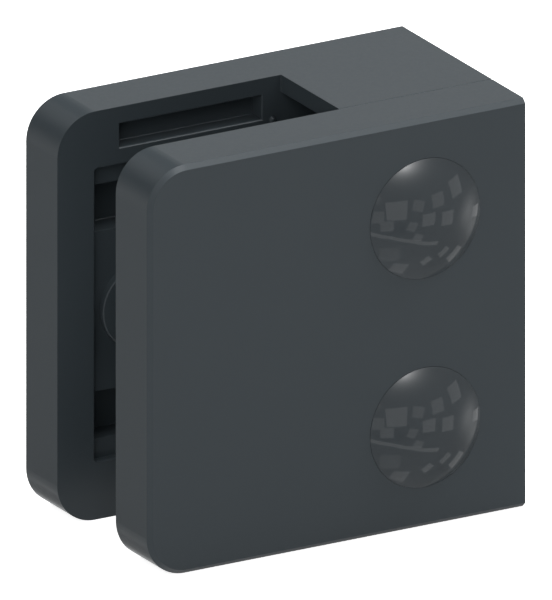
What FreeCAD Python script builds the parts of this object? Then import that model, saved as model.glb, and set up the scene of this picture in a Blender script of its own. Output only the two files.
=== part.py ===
import FreeCAD, Part
import math
import os

os.makedirs("parts", exist_ok=True)

# Square glass panel clamp, 45 x 26 x 45 mm, with its cover plate screwed on.
# Origin: centre of the post bolt's bore, on the flat face that meets the post.
# +X points from the clamp into the post, -X along the glass towards the jaw tips.
# -Y is the cover's side, with the two domed caps. Y = 0 is the middle of the glass.
# Lengths are in millimetres.

Vector = FreeCAD.Vector

# The two jaws and the slot for the glass
body_width = 45.0
body_height = 45.0
glass_gap = 12.0
slot_depth = 26.75
cover_thickness = 7.0
rear_jaw_thickness = 7.0
corner_radius = 4.5
face_chamfer = 0.5
seam_chamfer = 0.1

# The recess in each jaw that holds a rubber insert
pocket_from_tip = 4.45
pocket_end_land = 2.3
pocket_sunk = 1.0
pocket_corner = 0.45
key_slot_from_edge = 1.9
key_slot_height = 2.65
key_slot_from_tip = 7.45
key_slot_sunk = 1.95
key_slot_land = 1.8
relief_from_pocket_edge = 2.15
relief_height = 5.2
relief_sunk = 3.0
pad_diameter = 9.0
pad_from_tip = 10.0
pip_diameter = 0.75
pip_height = 0.3
pip_from_slot_end = 1.05
pip_from_edge = 4.75
rim_chamfer = 0.1
root_round = 0.12

# The hollow web behind the glass
web_wall = 1.9
post_wall = 5.0
post_bore_diameter = 8.5
boss_diameter = 10.0
boss_rib = 3.0
hollow_round = 0.3

# The two screws that pull the cover onto the web, with low heads
screw_from_post = 12.0
screw_from_edge = 11.0
thread_diameter = 6.0
thread_clearance = 0.05
thread_runout = 2.1
thread_countersink = 0.35
screw_length = 12.0
screw_hole_clearance = 0.3
head_diameter = 10.0
head_height = 4.0
head_clearance = 0.3
head_edge_chamfer = 0.4
screw_tip_chamfer = 0.6
socket_across_flats = 4.0
socket_sunk = 2.3
socket_cone = 0.7

# The domed caps that hide the screws
cap_diameter = 13.16
cap_clearance = 0.02
cap_seat_depth = 1.2
cap_dome_height = 2.1
cap_rim_height = 0.03
cap_wall = 1.5
cap_recess = 1.4
cap_above_head = 0.2

# Planes and lines that the pieces share
tip_x = -body_width
slot_end_x = tip_x + slot_depth
cover_inner_y = -glass_gap / 2
rear_inner_y = glass_gap / 2
cover_face_y = cover_inner_y - cover_thickness
top_z = body_height / 2
screw_x = -screw_from_post
screw_z = top_z - screw_from_edge
cap_seat_y = cover_face_y + cap_seat_depth
head_top_y = cap_seat_y + cap_above_head
head_seat_y = head_top_y + head_height
screw_tip_y = head_seat_y + screw_length
thread_end_y = screw_tip_y + thread_runout
past = 1.0
same = 0.001


def block(x0, x1, y0, y1, z0, z1):
    """Box between two opposite corners."""
    return Part.makeBox(x1 - x0, y1 - y0, z1 - z0, Vector(x0, y0, z0))


def rod(radius, x, z, y0, y1):
    """Cylinder along Y at (x, z)."""
    return Part.makeCylinder(radius, y1 - y0, Vector(x, y0, z), Vector(0, 1, 0))


def edges_where(shape, test):
    """Edges whose bounding box passes the test."""
    return [edge for edge in shape.Edges if test(edge.BoundBox)]


def flat_at_y(box, y):
    """True for an edge that lies in the plane at y."""
    return abs(box.YMin - y) < same and abs(box.YMax - y) < same


def along_y(box):
    """True for a straight edge that runs along Y."""
    return box.XLength < same and box.ZLength < same


def on_outline(box):
    """True for an edge of a jaw's face that reaches the tips or the post's side."""
    return box.XMin < tip_x + same or box.XMax > -same


def corner_arc(y, side):
    """Arc of a jaw's rounded corner at the tips, lower for side -1 and upper for side 1."""
    centre_x = tip_x + corner_radius
    centre_z = side * (top_z - corner_radius)
    reach = corner_radius * math.sqrt(0.5)
    return Part.Arc(Vector(centre_x, y, side * top_z),
                    Vector(centre_x - reach, y, centre_z + side * reach),
                    Vector(tip_x, y, centre_z)).toShape()


def jaw_slab(y0, y1):
    """Square jaw with two rounded corners at the tips, drawn as a profile and pulled along Y."""
    straight_x = tip_x + corner_radius
    straight_z = top_z - corner_radius
    outline = Part.Wire([
        Part.makeLine(Vector(0, y0, -top_z), Vector(straight_x, y0, -top_z)),
        corner_arc(y0, -1),
        Part.makeLine(Vector(tip_x, y0, -straight_z), Vector(tip_x, y0, straight_z)),
        corner_arc(y0, 1),
        Part.makeLine(Vector(straight_x, y0, top_z), Vector(0, y0, top_z)),
        Part.makeLine(Vector(0, y0, top_z), Vector(0, y0, -top_z)),
    ])
    return Part.Face(outline).extrude(Vector(0, y1 - y0, 0))


def insert_recess():
    """Solid that cuts the recess for a rubber insert into a jaw.

    It is a shallow pocket with two deeper reliefs and a round pad left standing,
    and a key slot above and below it.
    """
    pocket_half = top_z - key_slot_from_edge - key_slot_height - key_slot_land
    x0 = tip_x + pocket_from_tip
    x1 = slot_end_x - pocket_end_land
    floor_y = rear_inner_y + pocket_sunk
    relief_floor_y = floor_y + relief_sunk
    slot_floor_y = rear_inner_y + key_slot_sunk
    pocket = block(x0, x1, rear_inner_y - past, floor_y, -pocket_half, pocket_half)
    pocket = pocket.makeFillet(pocket_corner, edges_where(pocket, along_y))
    pad = rod(pad_diameter / 2, tip_x + pad_from_tip, 0, rear_inner_y - 2 * past, floor_y + past)
    cutters = [pocket.cut(pad)]
    for side in (-1, 1):
        relief_z = side * (pocket_half - relief_from_pocket_edge - relief_height / 2)
        relief = block(x0, x1, floor_y - pocket_sunk / 2, relief_floor_y,
                       relief_z - relief_height / 2, relief_z + relief_height / 2)
        floor_edges = edges_where(relief, lambda box: flat_at_y(box, relief_floor_y))
        cutters.append(relief.makeFillet(root_round, floor_edges))
        slot_z = side * (top_z - key_slot_from_edge - key_slot_height / 2)
        slot = block(tip_x + key_slot_from_tip, x1, rear_inner_y - past, slot_floor_y,
                     slot_z - key_slot_height / 2, slot_z + key_slot_height / 2)
        floor_edges = edges_where(slot, lambda box: flat_at_y(box, slot_floor_y))
        cutters.append(slot.makeFillet(root_round, floor_edges))
    return cutters[0].multiFuse(cutters[1:])


def make_jaw(thickness):
    """Jaw behind the glass: chamfered outline, recess for the insert and broken rims."""
    outer_y = rear_inner_y + thickness
    slab = jaw_slab(rear_inner_y, outer_y)
    outline = edges_where(slab, lambda box: flat_at_y(box, outer_y) and box.XMin < -same)
    slab = slab.makeChamfer(face_chamfer, outline)
    jaw = slab.cut(insert_recess())
    rims = edges_where(jaw, lambda box: flat_at_y(box, rear_inner_y) and not on_outline(box))
    return jaw.makeChamfer(rim_chamfer, rims)


def make_base():
    """Rear jaw and hollow web in one casting, with threaded bosses and the post bolt's bore."""
    web = block(slot_end_x, 0, cover_inner_y, rear_inner_y, -top_z, top_z)
    seam = edges_where(web, lambda box: flat_at_y(box, cover_inner_y) and box.XMax > slot_end_x + same)
    web = web.makeChamfer(seam_chamfer, seam)
    inner_half = top_z - web_wall
    hollow = block(slot_end_x - past, -post_wall, cover_inner_y - past, rear_inner_y,
                   -inner_half, inner_half)
    far_corners = edges_where(hollow, lambda box: along_y(box) and box.XMax > slot_end_x)
    web = web.cut(hollow.makeFillet(hollow_round, far_corners))
    carried = [web]
    for side in (-1, 1):
        z = side * screw_z
        carried.append(rod(boss_diameter / 2, screw_x, z, cover_inner_y, rear_inner_y))
        half_rib = boss_rib / 2
        carried.append(block(screw_x, -post_wall, cover_inner_y, rear_inner_y, z - half_rib, z + half_rib))
        pip_centre = Vector(slot_end_x - pip_from_slot_end, rear_inner_y - pip_height + pip_diameter / 2,
                            side * (top_z - pip_from_edge))
        carried.append(Part.makeSphere(pip_diameter / 2, pip_centre))
    body = make_jaw(rear_jaw_thickness).multiFuse(carried).removeSplitter()
    web_roots = edges_where(body, lambda box: flat_at_y(box, rear_inner_y) and box.XLength < same
                            and abs(box.XMin - slot_end_x) < same)
    body = body.makeFillet(root_round, web_roots)
    bore_radius = thread_diameter / 2 + thread_clearance
    for side in (-1, 1):
        z = side * screw_z
        body = body.cut(rod(bore_radius, screw_x, z, cover_inner_y - past, thread_end_y))
        mouth = Part.makeCone(bore_radius + thread_countersink, bore_radius, thread_countersink,
                              Vector(screw_x, cover_inner_y, z), Vector(0, 1, 0))
        body = body.cut(mouth)
    post_bore = Part.makeCylinder(post_bore_diameter / 2, post_wall + 2 * past,
                                  Vector(-post_wall - past, 0, 0), Vector(1, 0, 0))
    return body.cut(post_bore)


def make_cover():
    """Front jaw that the screws pull onto the web, with stepped holes for screws and caps."""
    jaw = make_jaw(cover_thickness)
    outline = edges_where(jaw, lambda box: flat_at_y(box, rear_inner_y) and on_outline(box))
    body = jaw.makeChamfer(seam_chamfer, outline).mirror(Vector(0, 0, 0), Vector(0, 1, 0))
    for side in (-1, 1):
        z = side * screw_z
        cap_seat = rod(cap_diameter / 2 + cap_clearance, screw_x, z, cover_face_y - past, cap_seat_y)
        head_seat = rod(head_diameter / 2 + head_clearance, screw_x, z, cover_face_y - past, head_seat_y)
        through = rod(thread_diameter / 2 + screw_hole_clearance, screw_x, z, cover_face_y - past, past)
        body = body.cut(cap_seat.multiFuse([head_seat, through]))
    return body


def turned(edges, z):
    """Solid turned about the screw's axis from edges drawn beside it, in the plane at z."""
    face = Part.Face(Part.Wire(edges))
    return face.revolve(Vector(screw_x, 0, z), Vector(0, 1, 0), 360)


def polyline(points):
    """Edges that join the points in turn."""
    return [Part.makeLine(a, b) for a, b in zip(points, points[1:])]


def make_screw(z):
    """Low-head M6 screw with a hexagon socket, its plain shank at the thread's outer size."""
    head_x = screw_x + head_diameter / 2
    shank_x = screw_x + thread_diameter / 2
    screw = turned(polyline([
        Vector(screw_x, head_top_y, z),
        Vector(head_x - head_edge_chamfer, head_top_y, z),
        Vector(head_x, head_top_y + head_edge_chamfer, z),
        Vector(head_x, head_seat_y, z),
        Vector(shank_x, head_seat_y, z),
        Vector(shank_x, screw_tip_y - screw_tip_chamfer, z),
        Vector(shank_x - screw_tip_chamfer, screw_tip_y, z),
        Vector(screw_x, screw_tip_y, z),
        Vector(screw_x, head_top_y, z),
    ]), z)
    corner = socket_across_flats / math.sqrt(3)
    turns = [math.radians(60 * step) for step in range(7)]
    hexagon = [Vector(screw_x + corner * math.sin(a), head_top_y, z + corner * math.cos(a)) for a in turns]
    socket = Part.Face(Part.makePolygon(hexagon)).extrude(Vector(0, socket_sunk, 0))
    bottom = Part.makeCone(socket_across_flats / 2, 0, socket_cone,
                           Vector(screw_x, head_top_y + socket_sunk, z), Vector(0, 1, 0))
    return screw.cut(socket).cut(bottom)


def make_cap(z):
    """Domed cap: part of a ball on a round skirt that stands just proud of the cover's face."""
    radius = cap_diameter / 2
    rise = cap_dome_height - cap_rim_height
    ball_radius = (radius ** 2 + rise ** 2) / (2 * rise)
    top_y = cover_face_y - cap_dome_height
    half_spread = math.asin(radius / ball_radius) / 2
    shoulder = Vector(screw_x + ball_radius * math.sin(half_spread),
                      top_y + ball_radius * (1 - math.cos(half_spread)), z)
    edge = Vector(screw_x + radius, cover_face_y - cap_rim_height, z)
    top = Vector(screw_x, top_y, z)
    skirt_x = screw_x + radius - cap_wall
    recess_y = cap_seat_y - cap_recess
    below = polyline([
        top,
        Vector(screw_x, recess_y, z),
        Vector(skirt_x, recess_y, z),
        Vector(skirt_x, cap_seat_y, z),
        Vector(screw_x + radius, cap_seat_y, z),
        edge,
    ])
    return turned([Part.Arc(edge, shoulder, top).toShape()] + below, z)


parts = {
    "base_body": make_base(),
    "cover_plate": make_cover(),
    "clamp_screw_upper": make_screw(screw_z),
    "clamp_screw_lower": make_screw(-screw_z),
    "cap_upper": make_cap(screw_z),
    "cap_lower": make_cap(-screw_z),
}

for name, shape in parts.items():
    shape.exportStep("parts/" + name + ".step")
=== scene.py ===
import math

import bpy
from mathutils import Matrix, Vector


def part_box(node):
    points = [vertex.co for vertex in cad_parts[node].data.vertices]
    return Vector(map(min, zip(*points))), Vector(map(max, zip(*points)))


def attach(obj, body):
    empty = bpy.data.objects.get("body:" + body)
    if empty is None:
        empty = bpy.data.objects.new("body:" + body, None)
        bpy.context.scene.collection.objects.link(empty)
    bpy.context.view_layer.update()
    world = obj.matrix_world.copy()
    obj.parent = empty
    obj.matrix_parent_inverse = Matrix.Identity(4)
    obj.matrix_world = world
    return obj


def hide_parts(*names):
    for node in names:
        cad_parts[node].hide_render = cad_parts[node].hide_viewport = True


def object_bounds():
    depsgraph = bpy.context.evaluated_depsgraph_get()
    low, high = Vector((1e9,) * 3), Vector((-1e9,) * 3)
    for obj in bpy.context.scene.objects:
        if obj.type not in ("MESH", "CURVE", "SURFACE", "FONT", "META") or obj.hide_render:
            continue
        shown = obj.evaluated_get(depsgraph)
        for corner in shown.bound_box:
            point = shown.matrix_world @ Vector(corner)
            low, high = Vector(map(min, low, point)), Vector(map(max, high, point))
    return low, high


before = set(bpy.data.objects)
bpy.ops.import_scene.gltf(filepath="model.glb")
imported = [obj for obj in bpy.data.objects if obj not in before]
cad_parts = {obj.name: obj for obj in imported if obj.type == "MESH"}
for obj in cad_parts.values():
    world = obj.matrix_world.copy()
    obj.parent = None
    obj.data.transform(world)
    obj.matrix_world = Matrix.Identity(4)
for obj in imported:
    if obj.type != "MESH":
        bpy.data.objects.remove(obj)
cad_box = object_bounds()

# All sizes are in metres, in the part's own frame: X out of the mounting face, -Y the cover's side, Z up.

# Caps. The rim is how far the dome's edge stands proud of the cover.
CAP_WALL = 0.0015
CAP_RECESS = 0.0014
CAP_RIM = 0.00003
DOME_RINGS = 36
DOME_STEPS = 180

# Screws, from the head to the tip
HEAD_HEIGHT = 0.0040
HEAD_CHAMFER = 0.0004
HEAD_FILLET = 0.0003
SOCKET_FLATS = 0.0040
SOCKET_DEPTH = 0.0023
SOCKET_CONE = 0.0007
SOCKET_CHAMFER = 0.0001
CORE_CHAMFER = 0.0001
ROUND_STEPS = 96

# Thread. Its half widths are shares of the pitch, its root sinks a little into the core, and at each end
# it grows from nothing over a part of a turn.
THREAD_MAJOR = 0.0030
THREAD_MINOR = 0.00239
THREAD_PITCH = 0.0010
THREAD_ROOT_HALF = 0.42
THREAD_CREST_HALF = 0.07
THREAD_SINK = 0.00004
THREAD_TIP_CHAMFER = 0.0006
THREAD_AFTER_HEAD = 0.0010
THREAD_BEFORE_TIP = 0.00044
THREAD_TAPER_TURNS = 0.5
THREAD_STEPS = 48

SHARP_ANGLE = math.radians(28)


# Materials

NOISE_LOW = 0.3
NOISE_HIGH = 0.7


def new_material(name):
    """Node material with its Principled shader and coordinates in object space."""
    material = bpy.data.materials.new(name)
    material.use_nodes = True
    nodes = material.node_tree.nodes
    shader = nodes["Principled BSDF"]
    place = nodes.new("ShaderNodeTexCoord")
    return material, nodes, material.node_tree.links, shader, place.outputs["Object"]


def noise(nodes, links, place, scale, detail):
    """Noise in object space, scale in waves per metre."""
    node = nodes.new("ShaderNodeTexNoise")
    node.inputs["Scale"].default_value = scale
    node.inputs["Detail"].default_value = detail
    links.new(place, node.inputs["Vector"])
    return node.outputs["Fac"]


def spread(nodes, links, value, low, high):
    """Maps the middle of a noise onto a range."""
    node = nodes.new("ShaderNodeMapRange")
    node.inputs["From Min"].default_value = NOISE_LOW
    node.inputs["From Max"].default_value = NOISE_HIGH
    node.inputs["To Min"].default_value = low
    node.inputs["To Max"].default_value = high
    links.new(value, node.inputs["Value"])
    return node.outputs["Result"]


def two_tone(nodes, links, value, dark, light):
    """Colour that clouds between two close tones."""
    node = nodes.new("ShaderNodeMix")
    node.data_type = "RGBA"
    node.inputs["A"].default_value = (*dark, 1.0)
    node.inputs["B"].default_value = (*light, 1.0)
    links.new(spread(nodes, links, value, low=0.0, high=1.0), node.inputs["Factor"])
    return node.outputs["Result"]


def bumped(nodes, links, shader, height, distance, strength, edge_radius):
    """Surface relief from a height, over edges that are broken by a small radius."""
    edge = nodes.new("ShaderNodeBevel")
    edge.samples = 6
    edge.inputs["Radius"].default_value = edge_radius
    relief = nodes.new("ShaderNodeBump")
    relief.inputs["Strength"].default_value = strength
    relief.inputs["Distance"].default_value = distance
    links.new(height, relief.inputs["Height"])
    links.new(edge.outputs["Normal"], relief.inputs["Normal"])
    links.new(relief.outputs["Normal"], shader.inputs["Normal"])


def coated_casting():
    """Satin slate-grey coating over a die casting, with the faint orange peel of a sprayed coat."""
    material, nodes, links, shader, place = new_material("coated_casting_look")
    cloud = noise(nodes, links, place, scale=160.0, detail=2.0)
    grain = noise(nodes, links, place, scale=2600.0, detail=2.0)
    colour = two_tone(nodes, links, cloud, dark=(0.0312, 0.0392, 0.0447), light=(0.0318, 0.0398, 0.0453))
    links.new(colour, shader.inputs["Base Color"])
    links.new(spread(nodes, links, grain, low=0.28, high=0.33), shader.inputs["Roughness"])
    shader.inputs["IOR"].default_value = 1.27
    bumped(nodes, links, shader, grain, distance=0.000004, strength=0.25, edge_radius=0.00005)
    return material


def glossy_cap():
    """Polished slate-grey cap that mirrors the room."""
    material, nodes, links, shader, place = new_material("cap_plastic_look")
    cloud = noise(nodes, links, place, scale=220.0, detail=2.0)
    smear = noise(nodes, links, place, scale=900.0, detail=3.0)
    colour = two_tone(nodes, links, cloud, dark=(0.0291, 0.0357, 0.0405), light=(0.0299, 0.0365, 0.0413))
    links.new(colour, shader.inputs["Base Color"])
    links.new(spread(nodes, links, smear, low=0.003, high=0.006), shader.inputs["Roughness"])
    shader.inputs["IOR"].default_value = 1.32
    return material


def zinc_steel():
    """Zinc-plated steel, faintly clouded in its tone and its gloss."""
    material, nodes, links, shader, place = new_material("plated_screw_look")
    cloud = noise(nodes, links, place, scale=700.0, detail=3.0)
    grain = noise(nodes, links, place, scale=5200.0, detail=2.0)
    colour = two_tone(nodes, links, cloud, dark=(0.50, 0.51, 0.52), light=(0.62, 0.62, 0.61))
    links.new(colour, shader.inputs["Base Color"])
    links.new(spread(nodes, links, cloud, low=0.29, high=0.33), shader.inputs["Roughness"])
    shader.inputs["Metallic"].default_value = 1.0
    bumped(nodes, links, shader, grain, distance=0.000001, strength=0.2, edge_radius=0.00008)
    return material


coating = coated_casting()
cap_finish = glossy_cap()
zinc = zinc_steel()

for name in ("base_body", "cover_plate"):
    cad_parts[name].data.materials[0] = coating


# Turned pieces: domed caps, and screws with a cut thread

def ring(points, radius, y, steps):
    """Adds a circle about Y and returns its vertex numbers."""
    first = len(points)
    for step in range(steps):
        angle = 2 * math.pi * step / steps
        points.append((radius * math.sin(angle), y, radius * math.cos(angle)))
    return list(range(first, first + steps))


def hexagon_ring(points, flats, y, steps):
    """Adds a hexagon about Y with as many points as a ring, and returns their numbers."""
    first = len(points)
    for step in range(steps):
        angle = 2 * math.pi * step / steps
        off_flat = (angle + math.pi / 6) % (math.pi / 3) - math.pi / 6
        radius = flats / 2 / math.cos(off_flat)
        points.append((radius * math.sin(angle), y, radius * math.cos(angle)))
    return list(range(first, first + steps))


def skin(points, faces, rings, start_y, end_y):
    """Joins rings into a closed skin, with a point on the axis at each end."""
    for near, far in zip(rings, rings[1:]):
        for i in range(len(near)):
            j = (i + 1) % len(near)
            faces.append((far[i], far[j], near[j], near[i]))
    for edge, y in ((rings[0][::-1], start_y), (rings[-1], end_y)):
        tip = len(points)
        points.append((0.0, y, 0.0))
        for i in range(len(edge)):
            faces.append((tip, edge[i], edge[(i + 1) % len(edge)]))


def place_piece(name, points, faces, material, node, body):
    """Adds a turned piece on the axis of the CAD node that it stands in for."""
    low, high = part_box(node)
    mesh = bpy.data.meshes.new(name)
    mesh.from_pydata(points, [], faces)
    mesh.shade_smooth()
    mesh.set_sharp_from_angle(angle=SHARP_ANGLE)
    mesh.materials.append(material)
    piece = bpy.data.objects.new(name, mesh)
    piece.location = ((low.x + high.x) / 2, 0.0, (low.z + high.z) / 2)
    bpy.context.scene.collection.objects.link(piece)
    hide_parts(node)
    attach(piece, body)


def domed_cap(name, node, body):
    """Cap with a dome turned finely enough to mirror straight edges."""
    low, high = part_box(node)
    radius = (high.x - low.x) / 2
    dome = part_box("cover_plate")[0].y - CAP_RIM - low.y
    ball = (radius ** 2 + dome ** 2) / (2 * dome)
    half_angle = math.asin(radius / ball)
    points, faces, rings = [], [], []
    for k in range(1, DOME_RINGS + 1):
        tilt = half_angle * k / DOME_RINGS
        rings.append(ring(points, ball * math.sin(tilt), low.y + ball * (1 - math.cos(tilt)), DOME_STEPS))
    recess_y = high.y - CAP_RECESS
    rings.append(ring(points, radius, high.y, DOME_STEPS))
    rings.append(ring(points, radius - CAP_WALL, high.y, DOME_STEPS))
    rings.append(ring(points, radius - CAP_WALL, recess_y, DOME_STEPS))
    skin(points, faces, rings, low.y, recess_y)
    place_piece(name, points, faces, cap_finish, node, body)


def thread_ridge(points, faces, start, end, tip):
    """Adds the helical ridge of the thread along Y, tapered where it starts and ends."""
    root = THREAD_MINOR - THREAD_SINK
    count = int((end - start) / THREAD_PITCH * THREAD_STEPS)
    rows = []
    for step in range(count + 1):
        angle = 2 * math.pi * step / THREAD_STEPS
        y = start + THREAD_PITCH * step / THREAD_STEPS
        turns_to_end = min(step, count - step) / THREAD_STEPS
        grown = min(1.0, turns_to_end / THREAD_TAPER_TURNS)
        crest = THREAD_MINOR + (THREAD_MAJOR - THREAD_MINOR) * grown
        crest = min(crest, THREAD_MAJOR - max(0.0, y - (tip - THREAD_TIP_CHAMFER)))
        crest = max(crest, THREAD_MINOR)
        profile = (
            (root, -THREAD_ROOT_HALF),
            (crest, -THREAD_CREST_HALF),
            (crest, THREAD_CREST_HALF),
            (root, THREAD_ROOT_HALF),
        )
        first = len(points)
        for radius, side in profile:
            points.append((radius * math.sin(angle), y + side * THREAD_PITCH, radius * math.cos(angle)))
        rows.append(range(first, first + len(profile)))
    for a, b in zip(rows, rows[1:]):
        for k in range(len(a) - 1):
            faces.append((a[k], a[k + 1], b[k + 1], b[k]))


def threaded_screw(name, node, body):
    """Low-head socket screw with a real thread, in place of the plain CAD screw."""
    low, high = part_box(node)
    head_radius = (high.x - low.x) / 2
    top, tip = low.y, high.y
    seat = top + HEAD_HEIGHT
    points, faces = [], []
    rings = [
        ring(points, SOCKET_FLATS / 4, top + SOCKET_DEPTH + SOCKET_CONE / 2, ROUND_STEPS),
        ring(points, SOCKET_FLATS / 2, top + SOCKET_DEPTH, ROUND_STEPS),
        hexagon_ring(points, SOCKET_FLATS, top + SOCKET_DEPTH, ROUND_STEPS),
        hexagon_ring(points, SOCKET_FLATS, top + SOCKET_CHAMFER, ROUND_STEPS),
        hexagon_ring(points, SOCKET_FLATS + 2 * SOCKET_CHAMFER, top, ROUND_STEPS),
        ring(points, head_radius - HEAD_CHAMFER, top, ROUND_STEPS),
        ring(points, head_radius, top + HEAD_CHAMFER, ROUND_STEPS),
        ring(points, head_radius, seat, ROUND_STEPS),
        ring(points, THREAD_MINOR + HEAD_FILLET, seat, ROUND_STEPS),
        ring(points, THREAD_MINOR, seat + HEAD_FILLET, ROUND_STEPS),
        ring(points, THREAD_MINOR, tip - CORE_CHAMFER, ROUND_STEPS),
        ring(points, THREAD_MINOR - CORE_CHAMFER, tip, ROUND_STEPS),
    ]
    skin(points, faces, rings, top + SOCKET_DEPTH + SOCKET_CONE, tip)
    thread_ridge(points, faces, seat + THREAD_AFTER_HEAD, tip - THREAD_BEFORE_TIP, tip)
    place_piece(name, points, faces, zinc, node, body)


domed_cap("domed_cap_upper", "cap_upper", "cap_top")
domed_cap("domed_cap_lower", "cap_lower", "cap_bottom")
threaded_screw("socket_screw_upper", "clamp_screw_upper", "screw_upper")
threaded_screw("socket_screw_lower", "clamp_screw_lower", "screw_lower")


# Floor. It lies a hair under the object, and the glow that only the camera sees makes it white.

FLOOR_HALF_SIDE = 2.0
FLOOR_GAP = 0.00002
FLOOR_GREY = 0.80
FLOOR_GLOW = 0.85


def pale_floor():
    """Pale floor that reads as white round the object and keeps its soft shadow."""
    material = bpy.data.materials.new("pale_floor")
    material.use_nodes = True
    nodes, links = material.node_tree.nodes, material.node_tree.links
    nodes.remove(nodes["Principled BSDF"])
    matt = nodes.new("ShaderNodeBsdfDiffuse")
    matt.inputs["Color"].default_value = (FLOOR_GREY, FLOOR_GREY, FLOOR_GREY, 1.0)
    light = nodes.new("ShaderNodeEmission")
    seen_by = nodes.new("ShaderNodeLightPath")
    glow_level = nodes.new("ShaderNodeMath")
    glow_level.operation = "MULTIPLY"
    glow_level.inputs[1].default_value = FLOOR_GLOW
    both = nodes.new("ShaderNodeAddShader")
    links.new(seen_by.outputs["Is Camera Ray"], glow_level.inputs[0])
    links.new(glow_level.outputs["Value"], light.inputs["Strength"])
    links.new(matt.outputs["BSDF"], both.inputs[0])
    links.new(light.outputs["Emission"], both.inputs[1])
    links.new(both.outputs["Shader"], nodes["Material Output"].inputs["Surface"])
    return material


floor_mesh = bpy.data.meshes.new("floor")
floor_corners = [
    (side_x * FLOOR_HALF_SIDE, side_y * FLOOR_HALF_SIDE, 0)
    for side_x, side_y in ((-1, -1), (1, -1), (1, 1), (-1, 1))
]
floor_mesh.from_pydata(floor_corners, [], [(0, 1, 2, 3)])
floor_mesh.materials.append(pale_floor())
floor = bpy.data.objects.new("floor", floor_mesh)
floor.location.z = cad_box[0].z - FLOOR_GAP
floor.visible_glossy = False
floor.visible_shadow = False
bpy.context.scene.collection.objects.link(floor)


# Room that the glossy caps mirror: window panes, a wall with its lamps, and dark flags.
# Directions are in degrees: azimuth from -Y towards +X, then height over the horizon.
# The steps, in degrees too, are how finely the cards and the lit wall are cut.

ROOM_CENTRE = Vector((-0.012, -0.013, 0.0))
PANE_DISTANCE = 0.53
OVERLAP_DISTANCE = PANE_DISTANCE - 0.002
LOW_WALL_DISTANCE = PANE_DISTANCE + 0.015
WALL_DISTANCE = PANE_DISTANCE + 0.03
CARD_STEP = 8
WALL_STEP = 3

# Each pane has its four corners, then its level.
PANES = [
    ((-24.9, 9.9), (-1.0, 10.4), (-3.0, -9.4), (-23.3, -9.0), 2.0),
    ((6.0, 9.9), (18.2, 5.9), (14.0, -4.2), (2.9, -0.9), 1.7),
    ((25.6, 9.6), (40.4, 9.4), (39.8, -2.9), (26.4, -3.3), 1.8),
    ((49.8, 13.7), (66.1, 13.2), (65.3, -0.4), (51.0, -1.0), 1.8),
    ((14.3, -6.8), (29.0, -6.7), (29.2, -18.7), (14.8, -18.8), 1.95),
    ((37.3, -9.0), (51.8, -9.7), (52.6, -21.6), (38.0, -21.3), 1.9),
    ((-36.2, 0.6), (-25.7, 0.6), (-26.0, -11.8), (-38.7, -11.9), 1.6),
    ((-30.5, -9.8), (-15.9, -10.2), (-16.1, -20.9), (-29.6, -21.2), 1.7),
    ((1.0, -11.9), (10.5, -14.6), (6.6, -23.8), (-3.1, -20.3), 1.62),
    ((8.8, -25.0), (18.6, -27.9), (16.9, -35.3), (5.1, -32.8), 1.75),
    ((-7.7, -59.5), (18.2, -59.4), (28.3, -72.7), (-13.2, -69.0), 1.65),
    ((39.1, -49.2), (50.8, -51.5), (48.1, -59.2), (34.1, -56.5), 1.65),
    ((57.5, -39.3), (67.1, -41.4), (63.6, -49.3), (53.2, -46.9), 1.4),
    ((78.2, -37.9), (90.4, -38.0), (92.3, -47.4), (76.8, -47.9), 1.22),
    ((82.8, -15.2), (97.0, -15.2), (97.0, -21.7), (82.8, -21.2), 1.9),
    ((-31.0, -39.9), (-6.0, -39.9), (-1.8, -55.9), (-30.9, -56.0), 1.25),
    ((-39.8, -21.5), (-17.1, -26.7), (-16.8, -30.5), (-40.0, -25.9), 2.0),
    ((-17.1, -26.7), (4.3, -31.4), (5.2, -35.4), (-16.8, -30.5), 2.0),
    ((4.3, -31.4), (41.2, -35.1), (41.9, -38.7), (5.2, -35.4), 1.95),
]
PANE_OVERLAPS = [
    ((-30.5, -9.9), (-26.0, -10.0), (-26.0, -11.8), (-30.4, -11.8), 2.4),
    ((5.2, -31.6), (17.5, -32.8), (16.9, -35.9), (5.1, -34.6), 2.5),
]

# Each glow has its direction, how wide and high it spreads, how much it adds to the wall's level,
# and 1 for a sharp peak or 2 for a soft one.
WALL_LEVEL = 0.84
WALL_GLOWS = [
    ((4.0, 45.0), (11.0, 5.0), 31.0, 1),
    ((27.0, 62.0), (20.0, 9.0), 9.8, 2),
    ((74.0, -16.0), (7.7, 6.5), 1.45, 2),
    ((88.0, -25.5), (7.0, 4.5), 0.7, 2),
    ((-33.0, 13.4), (2.0, 2.6), 1.2, 2),
    ((-14.0, -19.0), (15.0, 5.0), -0.28, 2),
    ((78.0, -53.0), (30.0, 18.0), -0.34, 2),
    ((99.0, 6.0), (21.0, 30.0), -0.5, 2),
]

# Each card has its name, azimuths, heights, level and distance.
CARDS = [
    ("wall_behind", (118, 238), (8, 50), 0.62, WALL_DISTANCE),
    ("wall_behind_low", (118, 238), (-60, 8), 0.42, WALL_DISTANCE),
    ("flag_top", (157, 178), (22, 38), 0.0, PANE_DISTANCE),
    ("flag_corner", (198, 224), (9, 25), 0.1, PANE_DISTANCE),
    ("wall_streak", (190, 206), (27, 38), 0.8, PANE_DISTANCE),
    ("wall_left", (206, 226), (-14, 2), 0.85, PANE_DISTANCE),
    ("wall_streak_low", (190, 204), (-31, -23), 1.6, PANE_DISTANCE),
    ("flag_low", (172, 190), (-34, -26), 0.55, PANE_DISTANCE),
    ("wall_corner_low", (143, 171), (-38, -16), 1.15, PANE_DISTANCE),
    ("wall_below", (-180, 180), (-90, -78), 1.6, LOW_WALL_DISTANCE),
]


def towards(azimuth, height):
    """Unit vector of a direction."""
    a, h = math.radians(azimuth), math.radians(height)
    return Vector((math.sin(a) * math.cos(h), -math.cos(a) * math.cos(h), math.sin(h)))


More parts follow.
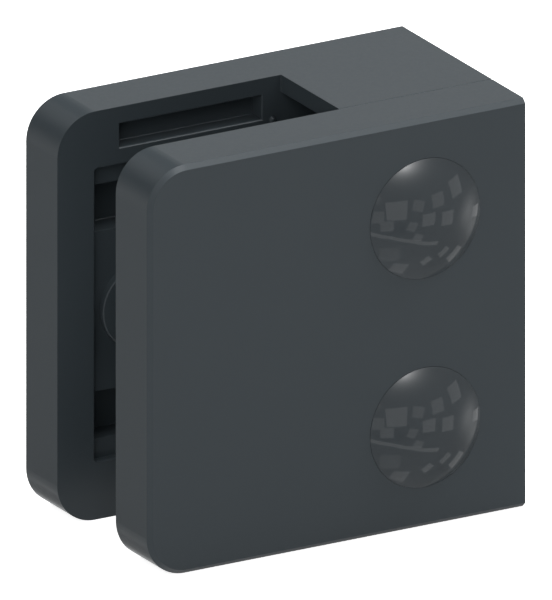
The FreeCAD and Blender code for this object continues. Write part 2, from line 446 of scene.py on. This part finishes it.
def glowing(name):
    """Light of a wall piece, read from its vertices."""
    material = bpy.data.materials.new(name)
    material.use_nodes = True
    material.cycles.emission_sampling = "NONE"
    nodes, links = material.node_tree.nodes, material.node_tree.links
    nodes.remove(nodes["Principled BSDF"])
    light = nodes.new("ShaderNodeEmission")
    level = nodes.new("ShaderNodeAttribute")
    level.attribute_name = "level"
    links.new(level.outputs["Fac"], light.inputs["Strength"])
    links.new(light.outputs["Emission"], nodes["Material Output"].inputs["Surface"])
    return material


glow = glowing("wall_light")


def wall_piece(name, places, faces, levels, distance):
    """Stage mesh that only mirrors see, with a direction and a level for each vertex."""
    mesh = bpy.data.meshes.new(name)
    mesh.from_pydata([towards(*place) * distance for place in places], [], faces)
    attribute = mesh.attributes.new("level", "FLOAT", "POINT")
    attribute.data.foreach_set("value", levels)
    mesh.materials.append(glow)
    piece = bpy.data.objects.new(name, mesh)
    piece.location = ROOM_CENTRE
    piece.visible_camera = False
    piece.visible_diffuse = False
    piece.visible_shadow = False
    bpy.context.scene.collection.objects.link(piece)


def panes(name, quads, distance):
    """Window panes, each with its own level."""
    places, faces, levels = [], [], []
    for *corners, level in quads:
        first = len(places)
        places += corners
        levels += [level] * len(corners)
        faces.append(tuple(range(first, first + len(corners))))
    wall_piece(name, places, faces, levels, distance)


def wall_grid(azimuths, heights, step):
    """Directions over a part of the wall, about a step apart, and the faces between them."""
    across = round((azimuths[1] - azimuths[0]) / step)
    tall = round((heights[1] - heights[0]) / step)
    places, faces = [], []
    for k in range(tall + 1):
        height = heights[0] + (heights[1] - heights[0]) * k / tall
        for i in range(across + 1):
            places.append((azimuths[0] + (azimuths[1] - azimuths[0]) * i / across, height))
    for k in range(tall):
        for i in range(across):
            a = k * (across + 1) + i
            faces.append((a, a + 1, a + across + 2, a + across + 1))
    return places, faces


def card(name, azimuths, heights, level, distance):
    """Part of the wall with one level, darker or lighter than its white."""
    places, faces = wall_grid(azimuths, heights, CARD_STEP)
    wall_piece(name, places, faces, [level] * len(places), distance)


def lit_wall(name, azimuths, heights, distance):
    """White wall that grows lighter round its lamps and darker in its far corners."""
    places, faces = wall_grid(azimuths, heights, WALL_STEP)
    levels = []
    for azimuth, height in places:
        level = WALL_LEVEL
        for (turn, lift), (wide, high), gain, softness in WALL_GLOWS:
            away = math.hypot((azimuth - turn) / wide, (height - lift) / high)
            level += gain * math.exp(-away ** softness / softness)
        levels.append(level)
    wall_piece(name, places, faces, levels, distance)


panes("window_panes", PANES, PANE_DISTANCE)
panes("pane_overlaps", PANE_OVERLAPS, OVERLAP_DISTANCE)
for name, azimuths, heights, level, distance in CARDS:
    card(name, azimuths, heights, level, distance)
lit_wall("lit_wall", (-46, 116), (-82, 80), WALL_DISTANCE)


# Lamps, with their azimuth, height and power in watts

LAMP_DISTANCE = 2.4
LAMP_SIDE = 2.0
LAMPS = [
    ("key_right", 90, 60, 84.0),
    ("key_back", 180, 60, 18.0),
    ("fill_front", -45, 30, 33.6),
    ("fill_left", -90, 20, 3.2),
    ("fill_back", 130, 20, 12.0),
]


def lamp(name, azimuth, height, power):
    """Soft square lamp that faces the clamp."""
    data = bpy.data.lights.new(name, "AREA")
    data.shape = "SQUARE"
    data.size = LAMP_SIDE
    data.energy = power
    piece = bpy.data.objects.new(name, data)
    direction = towards(azimuth, height)
    piece.location = direction * LAMP_DISTANCE
    piece.rotation_euler = direction.to_track_quat("Z", "Y").to_euler()
    piece.visible_glossy = False
    piece.visible_camera = False
    bpy.context.scene.collection.objects.link(piece)


for name, azimuth, height, power in LAMPS:
    lamp(name, azimuth, height, power)


# White surroundings for the camera, mirrors and clear materials, and a dim level as light on the object

WHITE_LEVEL = 1.0
DIM_LEVEL = 0.05

world = bpy.data.worlds.new("studio")
world.use_nodes = True
bpy.context.scene.world = world
tree = world.node_tree
seen_by = tree.nodes.new("ShaderNodeLightPath")
direct = tree.nodes.new("ShaderNodeMath")
direct.operation = "MAXIMUM"
through = tree.nodes.new("ShaderNodeMath")
through.operation = "MAXIMUM"
world_level = tree.nodes.new("ShaderNodeMapRange")
world_level.inputs["To Min"].default_value = DIM_LEVEL
world_level.inputs["To Max"].default_value = WHITE_LEVEL
tree.links.new(seen_by.outputs["Is Camera Ray"], direct.inputs[0])
tree.links.new(seen_by.outputs["Is Glossy Ray"], direct.inputs[1])
tree.links.new(direct.outputs["Value"], through.inputs[0])
tree.links.new(seen_by.outputs["Is Transmission Ray"], through.inputs[1])
tree.links.new(through.outputs["Value"], world_level.inputs["Value"])
tree.links.new(world_level.outputs["Result"], tree.nodes["Background"].inputs["Strength"])
tree.nodes["Background"].inputs["Color"].default_value = (1.0, 1.0, 1.0, 1.0)


# Camera at the photograph's angle: 30 degrees to the left of the front and 20 degrees up

CAMERA_SPAN = 0.062128
CAMERA_SHIFT_RIGHT = -0.0193306
CAMERA_SHIFT_UP = -0.0035383
CAMERA_DISTANCE = 0.25
VIEW_RIGHT = Vector((0.8660254, -0.5, 0.0))
VIEW_UP = Vector((0.171010, 0.296198, 0.939693))
VIEW_BACK = Vector((-0.469846, -0.813798, 0.342020))

camera_data = bpy.data.cameras.new("camera")
camera_data.type = "ORTHO"
camera_data.ortho_scale = CAMERA_SPAN
camera_data.clip_start = 0.01
camera_data.clip_end = 10.0
camera = bpy.data.objects.new("camera", camera_data)
camera.location = VIEW_RIGHT * CAMERA_SHIFT_RIGHT + VIEW_UP * CAMERA_SHIFT_UP + VIEW_BACK * CAMERA_DISTANCE
camera.rotation_euler = VIEW_BACK.to_track_quat("Z", "Y").to_euler()
bpy.context.scene.collection.objects.link(camera)
bpy.context.scene.camera = camera
bpy.context.scene.view_settings.view_transform = "Standard"
